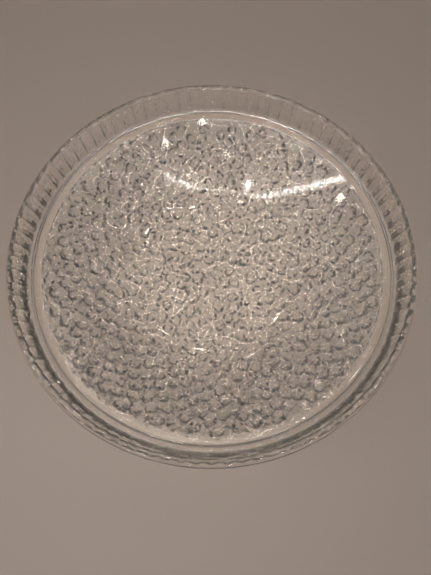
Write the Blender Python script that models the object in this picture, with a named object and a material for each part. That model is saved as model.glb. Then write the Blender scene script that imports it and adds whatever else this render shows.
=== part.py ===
"""Cheese dome and its base dish, two loose pieces of pressed glass.

The dome lies mouth up in the dish: its flat rim rests on the seat inside the dish's gallery, and its
crown hangs just clear of the well's floor. Metres, +Z up, origin under the centre of the dish.
"""

from math import acos, asin, cos, pi, radians, sin

import bmesh
import bpy
from mathutils import Vector

SEGMENTS = 64  # round each turned piece

# The bowl curve, which both pieces follow: a flat crown, a short bend (the knee) and a long bend (the wall).
CROWN_RADIUS = 0.044
KNEE_BEND = 0.070
KNEE_ANGLE = radians(28)
WALL_BEND = 0.240
KNEE_STEPS = 4
WALL_STEPS = 6

# The dome, measured from the bowl curve, which is its inside face.
DOME_THICKNESS = 0.0056  # over the pebbles
MOUTH_RADIUS = 0.1238
DOME_RIM_RADIUS = 0.1292
DOME_RIM_THICKNESS = 0.0048

# The base dish.
DISH_RADIUS = 0.140
DISH_THICKNESS = 0.0050
LIP_WIDTH = 0.0052
LIP_RISE = 0.0180  # from the dome's rim up to the lip
LIP_LAND = 0.0040  # upright edge under the lip, above the taper
GALLERY_CLEARANCE = 0.0010  # round the dome's rim
SEAT_GAP = 0.0003  # under the dome's rim
WELL_CLEARANCE = 0.0007  # round the dome's wall and crown
BAND_HEIGHT = 0.0235  # the fluted band under the lip
BAND_TAPER = 0.0010  # how far the band draws in on its way down
SHOULDER_DROP = 0.0005  # from the band's foot in to the wall: nearly flat

# Roundings of the pressed edges.
EDGE_ROUND = 0.0014
LIP_ROUND = 0.0025
CORNER_ROUND = 0.0006
ROUND_STEPS = 2

WELL_OFFSET = DOME_THICKNESS + WELL_CLEARANCE
OUTSIDE_OFFSET = WELL_OFFSET + DISH_THICKNESS
CROWN_HEIGHT = OUTSIDE_OFFSET  # of the dome's inside floor above the ground
WALL_CENTRE_R = CROWN_RADIUS - (WALL_BEND - KNEE_BEND) * sin(KNEE_ANGLE)
WALL_CENTRE_Z = CROWN_HEIGHT + KNEE_BEND + (WALL_BEND - KNEE_BEND) * cos(KNEE_ANGLE)


def angle_at_radius(offset, radius):
    """The wall's slope where the bowl curve, moved outwards by offset, reaches this radius."""
    return asin((radius - WALL_CENTRE_R) / (WALL_BEND + offset))


def angle_at_height(offset, height):
    """The wall's slope where the bowl curve, moved outwards by offset, reaches this height."""
    return acos((WALL_CENTRE_Z - height) / (WALL_BEND + offset))


def wall_point(offset, angle):
    """A point of the wall's long bend, as (radius, height)."""
    bend = WALL_BEND + offset
    return WALL_CENTRE_R + bend * sin(angle), WALL_CENTRE_Z - bend * cos(angle)


def bowl_curve(offset, end_angle):
    """Points from the axis out along the bowl curve, moved outwards by offset, to the slope end_angle."""
    bend = KNEE_BEND + offset
    points = [(0.0, CROWN_HEIGHT - offset)]
    for step in range(KNEE_STEPS):
        angle = KNEE_ANGLE * step / KNEE_STEPS
        height = CROWN_HEIGHT + KNEE_BEND - bend * cos(angle)
        points.append((CROWN_RADIUS + bend * sin(angle), height))
    for step in range(WALL_STEPS + 1):
        angle = KNEE_ANGLE + (end_angle - KNEE_ANGLE) * step / WALL_STEPS
        points.append(wall_point(offset, angle))
    return points


def rounded(before, corner, after, radius):
    """The corner between two neighbouring points of an outline, rounded to this radius."""
    corner = Vector(corner)
    to_before = (Vector(before) - corner).normalized()
    to_after = (Vector(after) - corner).normalized()
    half_angle = to_before.angle(to_after) / 2
    middle = (to_before + to_after).normalized()
    centre = corner + middle * radius / sin(half_angle)
    reach = radius * cos(half_angle) / sin(half_angle)
    first_ray = (corner + to_before * reach - centre).normalized()
    last_ray = (corner + to_after * reach - centre).normalized()
    points = []
    for step in range(ROUND_STEPS + 1):
        ray = first_ray.slerp(last_ray, step / ROUND_STEPS)
        points.append(tuple(centre + ray * radius))
    return points


def rounded_run(start, corners, end):
    """Rounds a run of (point, radius) corners that lies between the outline's points start and end."""
    spots = [start] + [corner for corner, _ in corners] + [end]
    points = []
    for index, (corner, radius) in enumerate(corners, start=1):
        points += rounded(spots[index - 1], corner, spots[index + 1], radius)
    return points


def glass(name, colour, roughness):
    """A clear pressed glass."""
    material = bpy.data.materials.new(name)
    material.use_nodes = True
    shader = material.node_tree.nodes["Principled BSDF"]
    shader.inputs["Base Color"].default_value = (*colour, 1.0)
    shader.inputs["Roughness"].default_value = roughness
    shader.inputs["Metallic"].default_value = 0.0
    shader.inputs["Transmission Weight"].default_value = 1.0
    shader.inputs["IOR"].default_value = 1.52
    return material


def turned(name, outline, material):
    """A closed solid turned about Z from an outline of (radius, height) that starts and ends on the axis."""
    bm = bmesh.new()
    verts = [bm.verts.new((radius, 0.0, height)) for radius, height in outline]
    edges = [bm.edges.new(pair) for pair in zip(verts, verts[1:])]
    bmesh.ops.spin(
        bm,
        geom=verts + edges,
        cent=(0.0, 0.0, 0.0),
        axis=(0.0, 0.0, 1.0),
        angle=2 * pi,
        steps=SEGMENTS,
        use_merge=True,
    )
    bmesh.ops.remove_doubles(bm, verts=bm.verts, dist=1e-6)
    bmesh.ops.recalc_face_normals(bm, faces=bm.faces)
    mesh = bpy.data.meshes.new(name)
    bm.to_mesh(mesh)
    bm.free()
    mesh.shade_smooth()
    mesh.set_sharp_from_angle(angle=radians(35))
    mesh.materials.append(material)
    piece = bpy.data.objects.new(name, mesh)
    bpy.context.collection.objects.link(piece)
    return piece


def rim_height():
    """Height of the flat rim round the dome's mouth."""
    return wall_point(0.0, angle_at_radius(0.0, MOUTH_RADIUS))[1]


def dome_outline():
    """The dome mouth up: out along its inside, round its flat rim, and back along its outside."""
    top = rim_height()
    bottom = top - DOME_RIM_THICKNESS
    inside = bowl_curve(0.0, angle_at_radius(0.0, MOUTH_RADIUS))
    outside = bowl_curve(DOME_THICKNESS, angle_at_height(DOME_THICKNESS, bottom))
    rim = rounded_run(
        inside[-2],
        [
            (inside[-1], EDGE_ROUND),
            ((DOME_RIM_RADIUS, top), EDGE_ROUND),
            ((DOME_RIM_RADIUS, bottom), CORNER_ROUND),
        ],
        outside[-1],
    )
    return inside[:-1] + rim + outside[::-1]


def dish_outline():
    """The dish: out along its well, over seat, gallery and lip, down the band, and in along its outside."""
    seat = rim_height() - DOME_RIM_THICKNESS - SEAT_GAP
    lip = rim_height() + LIP_RISE
    gallery = DOME_RIM_RADIUS + GALLERY_CLEARANCE
    band_foot = lip - BAND_HEIGHT
    shoulder = band_foot - SHOULDER_DROP
    well = bowl_curve(WELL_OFFSET, angle_at_height(WELL_OFFSET, seat))
    outside = bowl_curve(OUTSIDE_OFFSET, angle_at_height(OUTSIDE_OFFSET, shoulder))
    rim = rounded_run(
        well[-2],
        [
            (well[-1], CORNER_ROUND),
            ((gallery, seat), CORNER_ROUND),
            ((gallery, rim_height()), EDGE_ROUND),
            ((DISH_RADIUS - LIP_WIDTH, lip), LIP_ROUND),
            ((DISH_RADIUS, lip), LIP_ROUND),
            ((DISH_RADIUS, lip - LIP_LAND), LIP_ROUND),
            ((DISH_RADIUS - BAND_TAPER, band_foot), EDGE_ROUND),
        ],
        outside[-1],
    )
    return well[:-1] + rim + outside[::-1]


def main():
    for thing in list(bpy.data.objects):
        bpy.data.objects.remove(thing)
    turned("base_dish", dish_outline(), glass("dish_glass", (0.93, 0.91, 0.88), 0.03))
    turned("dome", dome_outline(), glass("dome_glass", (0.95, 0.93, 0.90), 0.04))


main()
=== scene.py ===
"""Looks of the cheese dome and its base dish: pressed clear glass, pebbled and fluted, on a pale floor."""

from math import acos, asin, ceil, cos, pi, radians, sin

import bpy
import numpy as np
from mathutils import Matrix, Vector, kdtree, noise


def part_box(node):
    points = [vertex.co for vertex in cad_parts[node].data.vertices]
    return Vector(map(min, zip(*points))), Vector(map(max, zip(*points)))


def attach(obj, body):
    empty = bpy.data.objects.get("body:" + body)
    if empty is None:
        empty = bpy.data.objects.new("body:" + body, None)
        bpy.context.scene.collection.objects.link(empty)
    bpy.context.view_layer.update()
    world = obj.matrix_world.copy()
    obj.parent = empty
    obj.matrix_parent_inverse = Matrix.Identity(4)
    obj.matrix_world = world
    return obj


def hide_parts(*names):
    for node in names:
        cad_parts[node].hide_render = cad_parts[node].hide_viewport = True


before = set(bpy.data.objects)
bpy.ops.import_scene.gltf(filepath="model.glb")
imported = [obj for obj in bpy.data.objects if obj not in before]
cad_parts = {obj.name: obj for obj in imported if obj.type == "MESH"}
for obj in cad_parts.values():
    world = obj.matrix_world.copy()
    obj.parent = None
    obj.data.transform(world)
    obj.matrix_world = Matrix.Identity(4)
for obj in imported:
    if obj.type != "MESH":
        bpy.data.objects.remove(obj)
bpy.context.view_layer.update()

# The glass shapes, in metres. Both pieces follow one bowl curve: flat crown, knee bend, wall bend.
DISH_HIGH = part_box("base_dish")[1]
DOME_LOW, DOME_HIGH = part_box("dome")
CROWN_RADIUS = 0.044
KNEE_BEND = 0.070
KNEE_ANGLE = radians(28)
WALL_BEND = 0.240
DOME_THICKNESS = 0.0056  # over the pebbles
MOUTH_RADIUS = 0.1238
DOME_RIM_RADIUS = DOME_HIGH[0]
DOME_RIM_THICKNESS = 0.0048
RIM_HEIGHT = DOME_HIGH[2]
DISH_RADIUS = DISH_HIGH[0]
DISH_THICKNESS = 0.0050
LIP_HEIGHT = DISH_HIGH[2]
LIP_WIDTH = 0.0052
LIP_LAND = 0.0040
GALLERY_CLEARANCE = 0.0010
SEAT_GAP = 0.0003
WELL_CLEARANCE = 0.0007
BAND_HEIGHT = 0.0235
BAND_TAPER = 0.0010
SHOULDER_DROP = 0.0005
EDGE_ROUND = 0.0014
LIP_ROUND = 0.0025
CORNER_ROUND = 0.0006

WELL_OFFSET = DOME_THICKNESS + WELL_CLEARANCE
OUTSIDE_OFFSET = WELL_OFFSET + DISH_THICKNESS
CROWN_HEIGHT = DOME_LOW[2] + DOME_THICKNESS
WALL_CENTRE_R = CROWN_RADIUS - (WALL_BEND - KNEE_BEND) * sin(KNEE_ANGLE)
WALL_CENTRE_Z = CROWN_HEIGHT + KNEE_BEND + (WALL_BEND - KNEE_BEND) * cos(KNEE_ANGLE)

# Mesh densities: the distance between neighbouring points, and the points across one flute.
SMOOTH_STEP = 0.0026
PEBBLE_STEP = 0.00080
FLUTE_SAMPLES = 18

# The dome's pebbles: caps cut from balls, laid along a spiral, each nudged and sized at random.
PEBBLE_PITCH = 0.0104
PEBBLE_PACKING = 0.866  # the area a pebble takes, in squares of the pitch
PEBBLE_JITTER = 0.14  # how far a pebble is nudged, in pitches
PEBBLE_RADIUS = 0.0050
PEBBLE_RADIUS_SPREAD = (0.84, 1.08)
PEBBLE_HEIGHT = 0.0026
PEBBLE_HEIGHT_SPREAD = (0.8, 1.0)
PEBBLE_END_RADIUS = 0.1262
PEBBLE_END_FADE = 0.001
LAST_SEED_RADIUS = PEBBLE_END_RADIUS - PEBBLE_RADIUS * 0.8
SEED_STEP = 0.0005
GOLDEN_ANGLE = pi * (3 - 5**0.5)
CAP_FLOOR = 0.80  # a cap is the top of a ball cut off this far above its middle, in cap heights
CAP_EDGE = ((1 + CAP_FLOOR) ** 2 - CAP_FLOOR**2) ** 0.5
PEBBLE_WOBBLE = 0.0009
PEBBLE_WOBBLE_SCALE = 210.0
NEAREST_PEBBLES = 3
SEED = 7

# The dish's band: flutes with fine streaks, which fade out below the lip and at the band's foot.
FLUTES = 90
FLUTE_DEPTH = 0.0007
STREAKS = 270
STREAK_DEPTH = 0.00012
FLUTE_START = 0.002
FLUTE_START_FADE = 0.002
FLUTE_OVERRUN = 0.0005
FLUTE_END_FADE = 0.0015
BAND_RELIEF = 0.14

# The glass. Its ripple and gloss run from the smooth faces to those with full relief.
IOR = 1.5
GLASS_ROUGHNESS = 0.05
CLARITY = 0.96
DISH_COLOUR = (0.97, 0.95, 0.922)
DISH_RIPPLE_SCALE = 60.0
DISH_RIPPLE = 0.15
DOME_COLOUR = (0.98, 0.957, 0.93)
DOME_RIPPLE_SCALE = 600.0
DOME_RIPPLE = 1.0
SMOOTH_RIPPLE = 0.03
RIPPLE_DEPTH = 0.0006
RIPPLE_DETAIL = 2.0
SMOOTH_GLOSS = 0.4
PEBBLE_GLOSS = 9.0
FACET_SCALE = 450.0
FACET_TILT = 0.8

# The share of lamp light that a face lets through, a painted tint on shadow rays that paints caustic light
# and shade on
# what lies below: "lost" where its normal's height is LOST_FACING or less, "gathered" from FULL_FACING up,
# times
# "under" below a pebble's top (painted shade) and "between" in the gaps (a painted pool of light).
LOST_FACING = 0.55
FULL_FACING = 0.93
DISH_LIGHT = {"lost": 0.55, "gathered": 0.84, "under": 1.0, "between": 1.0}
DOME_LIGHT = {"lost": 0.05, "gathered": 0.72, "under": 0.75, "between": 2.0}

# The lights: a row of small lamps, a weak sun, and a dim surround with a mild glow and bright spots.
WARM = (1.0, 0.915, 0.83)
LAMPS = 30
LAMP_SIZE = 0.004
LAMP_POWER = 0.06
ROW_START = (-0.60, -0.08, 0.62)
ROW_END = (0.22, -0.21, 0.62)
KEY_FROM = (-0.28, -0.39, 0.875)
KEY_STRENGTH = 0.40
KEY_ANGLE = radians(0.8)
GLOW_FROM = (0.02, 0.20, 0.95)
GLOW_SPREAD = radians(30)
GLOW_LOW = 0.14
GLOW_HIGH = 0.5
SPOT_SCALE = 6.0
SPOT_RADIUS = 0.14
SPOT_CORE = 0.8  # the share of a spot's radius that is fully bright
SPOT_LOWEST = sin(radians(35))  # the height of a spot's direction
SPOT_RISE = 0.05
SPOT_STRENGTH = 60.0

# The floor.
FLOOR_SIZE = 16.0
FLOOR_DROP = 0.0003
FLOOR_COLOUR = (0.285, 0.247, 0.226)
FLOOR_ROUGHNESS = 0.5

# The camera looks down on the object from the near side.
VIEW_TILT = radians(18.2)
EYE = (0.0024, -0.1150, LIP_HEIGHT + 0.2608)
LENS = 26.0
SENSOR = 36.0
BOUNCES = 32

# Shader nodes.
MATH = "ShaderNodeMath"
VECTOR_MATH = "ShaderNodeVectorMath"
UP = (0.0, 0.0, 1.0)


def angle_at_radius(offset, radius):
    """The wall's slope where the bowl curve, moved outwards by offset, reaches this radius."""
    return asin((radius - WALL_CENTRE_R) / (WALL_BEND + offset))


def angle_at_height(offset, height):
    """The wall's slope where the bowl curve, moved outwards by offset, reaches this height."""
    return acos((WALL_CENTRE_Z - height) / (WALL_BEND + offset))


def bowl_curve(offset, end_angle, step):
    """(radius, height) points from the axis out along the bowl curve, moved outwards by offset."""
    points = []
    crown_steps = ceil(CROWN_RADIUS / step)
    for index in range(crown_steps):
        points.append((CROWN_RADIUS * index / crown_steps, CROWN_HEIGHT - offset))
    bend = KNEE_BEND + offset
    knee_steps = ceil(bend * KNEE_ANGLE / step)
    for index in range(knee_steps):
        angle = KNEE_ANGLE * index / knee_steps
        height = CROWN_HEIGHT + KNEE_BEND - bend * cos(angle)
        points.append((CROWN_RADIUS + bend * sin(angle), height))
    bend = WALL_BEND + offset
    wall_steps = ceil(bend * (end_angle - KNEE_ANGLE) / step)
    for index in range(wall_steps + 1):
        angle = KNEE_ANGLE + (end_angle - KNEE_ANGLE) * index / wall_steps
        points.append((WALL_CENTRE_R + bend * sin(angle), WALL_CENTRE_Z - bend * cos(angle)))
    return points


def rounded(before, corner, after, radius, steps=5):
    """The corner between two neighbouring points of an outline, rounded to this radius."""
    corner = Vector(corner)
    to_before = (Vector(before) - corner).normalized()
    to_after = (Vector(after) - corner).normalized()
    half_angle = to_before.angle(to_after) / 2
    centre = corner + (to_before + to_after).normalized() * radius / sin(half_angle)
    reach = radius * cos(half_angle) / sin(half_angle)
    first_ray = (corner + to_before * reach - centre).normalized()
    last_ray = (corner + to_after * reach - centre).normalized()
    rays = [first_ray.slerp(last_ray, index / steps) for index in range(steps + 1)]
    return [tuple(centre + ray * radius) for ray in rays]


def rounded_run(start, corners, end):
    """Rounds a run of (point, radius) corners between the outline's points start and end."""
    spots = [start] + [corner for corner, _ in corners] + [end]
    points = []
    for index, (corner, radius) in enumerate(corners, start=1):
        points += rounded(spots[index - 1], corner, spots[index + 1], radius)
    return points


def spaced(points, step):
    """Adds points to a run wherever two neighbours are further apart than step."""
    run = [points[0]]
    for point in points[1:]:
        start = Vector(run[-1])
        length = (Vector(point) - start).length
        pieces = max(1, ceil(length / step))
        run += [tuple(start.lerp(Vector(point), index / pieces)) for index in range(1, pieces + 1)]
    return run


def ring_count(radius, step):
    """How many points a ring of this radius takes at this spacing; 1 on the axis."""
    return max(6, round(2 * pi * radius / step)) if radius > 1e-6 else 1


def rings(outline, step, fixed=None):
    """(radius, height, count) of each ring. fixed gives every ring off the axis the same count."""
    return [(r, z, fixed if fixed and r > 1e-6 else ring_count(r, step)) for r, z in outline]


def stitched(count_a, start_a, count_b, start_b):
    """Triangles between two rings of any counts, walking round both together."""
    faces = []
    a = b = 0
    while a < count_a or b < count_b:
        step_a = b >= count_b or (a < count_a and (a + 1) * count_b <= (b + 1) * count_a)
        here_a = start_a + a % count_a
        here_b = start_b + b % count_b
        if step_a:
            faces.append((here_a, here_b, start_a + (a + 1) % count_a))
            a += 1
        else:
            faces.append((here_a, here_b, start_b + (b + 1) % count_b))
            b += 1
    return [face for face in faces if len(set(face)) == 3]


def turned_points(ring_list):
    """The points of every ring, and where each ring starts."""
    points = []
    starts = []
    for radius, height, count in ring_list:
        starts.append(sum(len(part) for part in points))
        angle = np.arange(count) * 2 * pi / count
        height_column = np.full(count, height)
        points.append(np.column_stack((radius * np.cos(angle), radius * np.sin(angle), height_column)))
    return np.vstack(points), starts


def turned_object(name, ring_list, points, starts):
    """A closed smooth mesh from rings of points that start and end on the axis."""
    faces = []
    pairs = zip(zip(ring_list, starts), zip(ring_list[1:], starts[1:]))
    for ((_, _, count_a), start_a), ((_, _, count_b), start_b) in pairs:
        faces += stitched(count_a, start_a, count_b, start_b)
    mesh = bpy.data.meshes.new(name)
    mesh.from_pydata(points.tolist(), [], faces)
    mesh.validate()
    mesh.shade_smooth()
    piece = bpy.data.objects.new(name, mesh)
    bpy.context.collection.objects.link(piece)
    return piece


def store(piece, name, first, values):
    """Stores a number on each of the mesh's points: the values from point first on, 0 elsewhere."""
    column = np.zeros(len(piece.data.vertices))
    column[first : first + len(values)] = values
    piece.data.attributes.new(name, "FLOAT", "POINT").data.foreach_set("value", column)


def pebble_seeds(rng):
    """Pebble centres over the dome's outside: a sunflower spiral of even density, each one nudged."""
    end = angle_at_radius(DOME_THICKNESS, LAST_SEED_RADIUS)
    curve = np.array(bowl_curve(DOME_THICKNESS, end, SEED_STEP))
    lengths = np.hypot(*np.diff(curve, axis=0).T)
    middle_radius = (curve[1:, 0] + curve[:-1, 0]) / 2
    area = np.concatenate(([0], np.cumsum(2 * pi * middle_radius * lengths)))
    count = round(area[-1] / (PEBBLE_PITCH**2 * PEBBLE_PACKING))
    place = (np.arange(count) + 0.5) / count * area[-1]
    radius = np.interp(place, area, curve[:, 0])
    height = np.interp(place, area, curve[:, 1])
    turn = np.arange(count) * GOLDEN_ANGLE
    seeds = np.column_stack((radius * np.cos(turn), radius * np.sin(turn), height))
    return seeds + rng.uniform(-1, 1, seeds.shape) * PEBBLE_PITCH * PEBBLE_JITTER


def pebble_rise(points):
    """How far each point of the dome's outside stands out by the pebbles."""
    rng = np.random.default_rng(SEED)
    noise.seed_set(SEED)
    seeds = pebble_seeds(rng)
    size = PEBBLE_RADIUS * rng.uniform(*PEBBLE_RADIUS_SPREAD, len(seeds))
    crest = PEBBLE_HEIGHT * rng.uniform(*PEBBLE_HEIGHT_SPREAD, len(seeds))
    tree = kdtree.KDTree(len(seeds))
    for index, seed in enumerate(seeds):
        tree.insert(seed, index)
    tree.balance()
    raised = np.zeros(len(points))
    for index, point in enumerate(points):
        spot = Vector(point) + noise.noise_vector(Vector(point) * PEBBLE_WOBBLE_SCALE) * PEBBLE_WOBBLE
        for _, which, distance in tree.find_n(spot, NEAREST_PEBBLES):
            reach = min(distance / size[which], 1.0)
            cap = ((1 + CAP_FLOOR) ** 2 - (reach * CAP_EDGE) ** 2) ** 0.5
            raised[index] = max(raised[index], crest[which] * (cap - CAP_FLOOR))
    return raised


def dome_piece():
    """The dome, mouth up: smooth inside and rim, pebbled outside."""
    top = RIM_HEIGHT
    bottom = top - DOME_RIM_THICKNESS
    inside = bowl_curve(0.0, angle_at_radius(0.0, MOUTH_RADIUS), SMOOTH_STEP)
    outside = bowl_curve(DOME_THICKNESS, angle_at_height(DOME_THICKNESS, bottom), PEBBLE_STEP)
    rim = rounded_run(
        inside[-2],
        [
            (inside[-1], EDGE_ROUND),
            ((DOME_RIM_RADIUS, top), EDGE_ROUND),
            ((DOME_RIM_RADIUS, bottom), CORNER_ROUND),
        ],
        outside[-1],
    )
    smooth_rings = rings(inside[:-1] + rim, SMOOTH_STEP)
    pebble_rings = rings(outside[::-1], PEBBLE_STEP)
    ring_list = smooth_rings + pebble_rings
    points, starts = turned_points(ring_list)
    first = starts[len(smooth_rings)]
    outer = points[first:]
    radius = np.hypot(outer[:, 0], outer[:, 1])
    slope = bowl_slope(radius, DOME_THICKNESS)
    flat = np.maximum(radius, 1e-9)
    sideways = np.sin(slope) / flat
    outward = np.column_stack((outer[:, 0] * sideways, outer[:, 1] * sideways, -np.cos(slope)))
    fade = np.clip((PEBBLE_END_RADIUS - radius) / PEBBLE_END_FADE, 0, 1)
    raised = pebble_rise(outer)
    points[first:] = outer - outward * ((PEBBLE_HEIGHT - raised) * fade)[:, None]
    piece = turned_object("dome_glass", ring_list, points, starts)
    store(piece, "relief", first, fade)
    # gap marks the pebble gaps, where painted caustic light falls below and painted shade under the pebble
    # tops
    store(piece, "gap", first, (1 - raised / PEBBLE_HEIGHT) * fade)
    return piece


def bowl_slope(radius, offset):
    """The bowl curve's slope at these radii."""
    knee = np.arcsin(np.clip((radius - CROWN_RADIUS) / (KNEE_BEND + offset), 0, 1))
    wall = np.arcsin(np.clip((radius - WALL_CENTRE_R) / (WALL_BEND + offset), 0, 1))
    return np.where(knee < KNEE_ANGLE, knee, wall)


def dish_piece():
    """The dish: well, seat, gallery, lip, fluted band, wall and flat base."""
    seat = RIM_HEIGHT - DOME_RIM_THICKNESS - SEAT_GAP
    gallery = DOME_RIM_RADIUS + GALLERY_CLEARANCE
    band_foot = LIP_HEIGHT - BAND_HEIGHT
    shoulder = band_foot - SHOULDER_DROP
    well = bowl_curve(WELL_OFFSET, angle_at_height(WELL_OFFSET, seat), SMOOTH_STEP)
    outside = bowl_curve(OUTSIDE_OFFSET, angle_at_height(OUTSIDE_OFFSET, shoulder), SMOOTH_STEP)
    inner_rim = rounded_run(
        well[-2],
        [
            (well[-1], CORNER_ROUND),
            ((gallery, seat), CORNER_ROUND),
            ((gallery, RIM_HEIGHT), EDGE_ROUND),
            ((DISH_RADIUS - LIP_WIDTH, LIP_HEIGHT), LIP_ROUND),
            ((DISH_RADIUS, LIP_HEIGHT), LIP_ROUND),
        ],
        (DISH_RADIUS, LIP_HEIGHT - LIP_LAND),
    )
    band = rounded_run(
        (DISH_RADIUS, LIP_HEIGHT),
        [
            ((DISH_RADIUS, LIP_HEIGHT - LIP_LAND), LIP_ROUND),
            ((DISH_RADIUS - BAND_TAPER, band_foot), EDGE_ROUND),
        ],
        outside[-1],
    )
    smooth_top = rings(spaced(well[:-1] + inner_rim, SMOOTH_STEP), SMOOTH_STEP)
    fluted = rings(spaced(band, SMOOTH_STEP / 2), SMOOTH_STEP, fixed=FLUTES * FLUTE_SAMPLES)
    below = rings(outside[::-1], SMOOTH_STEP)
    ring_list = smooth_top + fluted + below
    points, starts = turned_points(ring_list)
    first = starts[len(smooth_top)]
    last = starts[len(smooth_top) + len(fluted)]
    strip = points[first:last]
    angle = np.arctan2(strip[:, 1], strip[:, 0])
    below_lip = LIP_HEIGHT - strip[:, 2]
    fade = np.clip((below_lip - FLUTE_START) / FLUTE_START_FADE, 0, 1)
    fade *= np.clip((BAND_HEIGHT + FLUTE_OVERRUN - below_lip) / FLUTE_END_FADE, 0, 1)
    flute = FLUTE_DEPTH * (1 - np.abs(np.cos(angle * FLUTES / 2)))
    streak = STREAK_DEPTH * np.sin(angle * STREAKS / 2) ** 2
    groove = (flute + streak) * fade
    scale = 1 - groove / DISH_RADIUS
    strip[:, :2] *= scale[:, None]
    piece = turned_object("dish_glass", ring_list, points, starts)
    store(piece, "relief", first, BAND_RELIEF * fade)
    return piece


def fed(tree, socket, value):
    """Links the socket to another one, or sets it to a constant."""
    if isinstance(value, bpy.types.NodeSocket):
        tree.links.new(value, socket)
    else:
        socket.default_value = value


def maths(tree, kind, operation, *values):
    """The result of a Math or Vector Math node on these values."""
    node = tree.nodes.new(kind)
    node.operation = operation
    for socket, value in zip(node.inputs, values):
        fed(tree, socket, value)
    return node.outputs["Value" if kind == MATH or operation == "DOT_PRODUCT" else "Vector"]


def scaled(tree, vector, factor):
    """The vector times a number."""
    node = tree.nodes.new(VECTOR_MATH)
    node.operation = "SCALE"
    fed(tree, node.inputs["Vector"], vector)
    fed(tree, node.inputs["Scale"], factor)
    return node.outputs["Vector"]


def mapped(tree, value, low, high, start=0.0, end=1.0, curve="LINEAR"):
    """The value carried from start..end to low..high, and held there outside that."""
    node = tree.nodes.new("ShaderNodeMapRange")
    node.interpolation_type = curve
    fed(tree, node.inputs["Value"], value)
    fed(tree, node.inputs["From Min"], start)
    fed(tree, node.inputs["From Max"], end)
    fed(tree, node.inputs["To Min"], low)
    fed(tree, node.inputs["To Max"], high)
    return node.outputs["Result"]


def attribute(tree, name):
    """A number stored on the mesh's points, 0 where there is none."""
    node = tree.nodes.new("ShaderNodeAttribute")
    node.attribute_name = name
    return node.outputs["Fac"]


def surface_normal(tree, relief, place, ripple_scale, ripple_strength):
    """The surface's normal with a ripple, and small tilted facets where there is relief."""
    ripple = tree.nodes.new("ShaderNodeTexNoise")
    ripple.inputs["Scale"].default_value = ripple_scale
    ripple.inputs["Detail"].default_value = RIPPLE_DETAIL
    tree.links.new(place, ripple.inputs["Vector"])
    bump = tree.nodes.new("ShaderNodeBump")
    bump.inputs["Distance"].default_value = RIPPLE_DEPTH
    tree.links.new(ripple.outputs["Fac"], bump.inputs["Height"])
    tree.links.new(mapped(tree, relief, SMOOTH_RIPPLE, ripple_strength), bump.inputs["Strength"])
    facets = tree.nodes.new("ShaderNodeTexVoronoi")
    facets.inputs["Scale"].default_value = FACET_SCALE
    tree.links.new(place, facets.inputs["Vector"])
    tilt = maths(tree, VECTOR_MATH, "SUBTRACT", facets.outputs["Color"], (0.5, 0.5, 0.5))
    lean = scaled(tree, tilt, maths(tree, MATH, "MULTIPLY", relief, FACET_TILT))
    leaned = maths(tree, VECTOR_MATH, "ADD", bump.outputs["Normal"], lean)
    return maths(tree, VECTOR_MATH, "NORMALIZE", leaned)


def painted_lamp_tint(tree, colour, lost, gathered, under, between):
    """A painted tint on the lamp light let through: painted shade where a face is steep and below pebble
    tops, painted caustic light between pebbles.
    """
    normal = tree.nodes.new("ShaderNodeNewGeometry").outputs["Normal"]
    facing = maths(tree, MATH, "ABSOLUTE", maths(tree, VECTOR_MATH, "DOT_PRODUCT", normal, UP))
    passed = mapped(tree, facing, lost, gathered, LOST_FACING, FULL_FACING, "SMOOTHSTEP")
    # painted caustic light in the gaps between pebbles, painted shade below their tops
    painted_focus = mapped(tree, attribute(tree, "gap"), under, between)
    return scaled(tree, colour, maths(tree, MATH, "MULTIPLY", passed, painted_focus))


def clear_glass(name, colour, ripple_scale, ripple_strength, light_shares):
    """Pressed glass, smooth or with relief, that lets the lamps' light through to what is below, with
    painted caustic light and shade on it.
    """
    material = bpy.data.materials.new(name)
    material.use_nodes = True
    tree = material.node_tree
    shader = tree.nodes["Principled BSDF"]
    shader.inputs["Base Color"].default_value = (*colour, 1.0)
    shader.inputs["Roughness"].default_value = GLASS_ROUGHNESS
    shader.inputs["Transmission Weight"].default_value = CLARITY
    shader.inputs["IOR"].default_value = IOR
    relief = attribute(tree, "relief")
    place = tree.nodes.new("ShaderNodeTexCoord").outputs["Object"]
    normal = surface_normal(tree, relief, place, ripple_scale, ripple_strength)
    tree.links.new(normal, shader.inputs["Normal"])
    tree.links.new(mapped(tree, relief, SMOOTH_GLOSS, PEBBLE_GLOSS), shader.inputs["Specular Tint"])
    # shadow rays pass straight through with a painted tint: painted caustic light and painted shade on
    # what lies below
    clear = tree.nodes.new("ShaderNodeBsdfTransparent")
    tree.links.new(painted_lamp_tint(tree, colour, **light_shares), clear.inputs["Color"])
    path = tree.nodes.new("ShaderNodeLightPath")
    mix = tree.nodes.new("ShaderNodeMixShader")
    tree.links.new(path.outputs["Is Shadow Ray"], mix.inputs["Fac"])
    tree.links.new(shader.outputs["BSDF"], mix.inputs[1])
    tree.links.new(clear.outputs["BSDF"], mix.inputs[2])
    tree.links.new(mix.outputs["Shader"], tree.nodes["Material Output"].inputs["Surface"])
    return material


def floor():
    """A plain pale floor."""
    bpy.ops.mesh.primitive_plane_add(size=FLOOR_SIZE, location=(0, 0, -FLOOR_DROP))
    plane = bpy.context.object
    plane.name = "floor"
    material = bpy.data.materials.new("floor")
    material.use_nodes = True
    shader = material.node_tree.nodes["Principled BSDF"]
    shader.inputs["Base Color"].default_value = (*FLOOR_COLOUR, 1.0)
    shader.inputs["Roughness"].default_value = FLOOR_ROUGHNESS
    plane.data.materials.append(material)


def aimed(name, light, place, direction):
    """The light's object, shining in this direction in the colour of all the lights."""
    light.color = WARM
    lamp = bpy.data.objects.new(name, light)
    lamp.location = place
    lamp.rotation_euler = Vector(direction).to_track_quat("-Z", "Y").to_euler()
    bpy.context.collection.objects.link(lamp)


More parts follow.
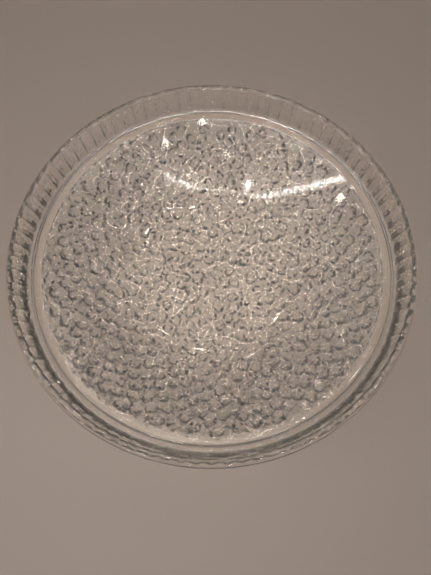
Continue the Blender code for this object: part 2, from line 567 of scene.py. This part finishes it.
def lights():
    """A row of small lamps over the near side, a weak sun as the key, and the surround."""
    for index in range(LAMPS):
        place = Vector(ROW_START).lerp(Vector(ROW_END), index / (LAMPS - 1))
        light = bpy.data.lights.new(f"lamp_{index:02}", "AREA")
        light.size = LAMP_SIZE
        light.energy = LAMP_POWER
        aimed(light.name, light, place, -place)
    key = bpy.data.lights.new("key", "SUN")
    key.energy = KEY_STRENGTH
    key.angle = KEY_ANGLE
    aimed(key.name, key, (0, 0, 0), -Vector(KEY_FROM))
    surround()


def surround():
    """A dim surround with a mild glow above the object and small bright spots that glint in it."""
    world = bpy.data.worlds.new("surround")
    world.use_nodes = True
    tree = world.node_tree
    background = tree.nodes["Background"]
    background.inputs["Color"].default_value = (*WARM, 1.0)
    view = tree.nodes.new("ShaderNodeTexCoord").outputs["Generated"]
    towards = maths(tree, VECTOR_MATH, "DOT_PRODUCT", view, Vector(GLOW_FROM).normalized())
    glow = mapped(tree, towards, GLOW_LOW, GLOW_HIGH, cos(GLOW_SPREAD), 1.0, "SMOOTHERSTEP")
    spots = tree.nodes.new("ShaderNodeTexVoronoi")
    spots.inputs["Scale"].default_value = SPOT_SCALE
    tree.links.new(view, spots.inputs["Vector"])
    spot = mapped(tree, spots.outputs["Distance"], 0.0, 1.0, SPOT_RADIUS, SPOT_RADIUS * SPOT_CORE)
    split = tree.nodes.new("ShaderNodeSeparateXYZ")
    tree.links.new(view, split.inputs["Vector"])
    full_height = SPOT_LOWEST + SPOT_RISE
    strength = mapped(tree, split.outputs["Z"], 0.0, SPOT_STRENGTH, SPOT_LOWEST, full_height)
    lit = maths(tree, MATH, "MULTIPLY_ADD", spot, strength, glow)
    tree.links.new(lit, background.inputs["Strength"])
    bpy.context.scene.world = world


def camera():
    """The camera over the near side, looking down."""
    data = bpy.data.cameras.new("camera")
    data.lens = LENS
    data.sensor_width = SENSOR
    data.clip_start = 0.01
    eye = bpy.data.objects.new("camera", data)
    eye.location = EYE
    eye.rotation_euler = (VIEW_TILT, 0.0, 0.0)
    bpy.context.collection.objects.link(eye)
    bpy.context.scene.camera = eye


bpy.context.scene.view_settings.view_transform = "Standard"
cycles = bpy.context.scene.cycles
cycles.max_bounces = BOUNCES
cycles.transmission_bounces = BOUNCES
cycles.sample_clamp_indirect = 0.0
camera()
floor()
lights()

dish = dish_piece()
dish_glass = clear_glass("dish_glass", DISH_COLOUR, DISH_RIPPLE_SCALE, DISH_RIPPLE, DISH_LIGHT)
dish.data.materials.append(dish_glass)
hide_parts("base_dish")
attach(dish, "dish")

dome = dome_piece()
dome_glass = clear_glass("dome_glass", DOME_COLOUR, DOME_RIPPLE_SCALE, DOME_RIPPLE, DOME_LIGHT)
dome.data.materials.append(dome_glass)
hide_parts("dome")
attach(dome, "dome")
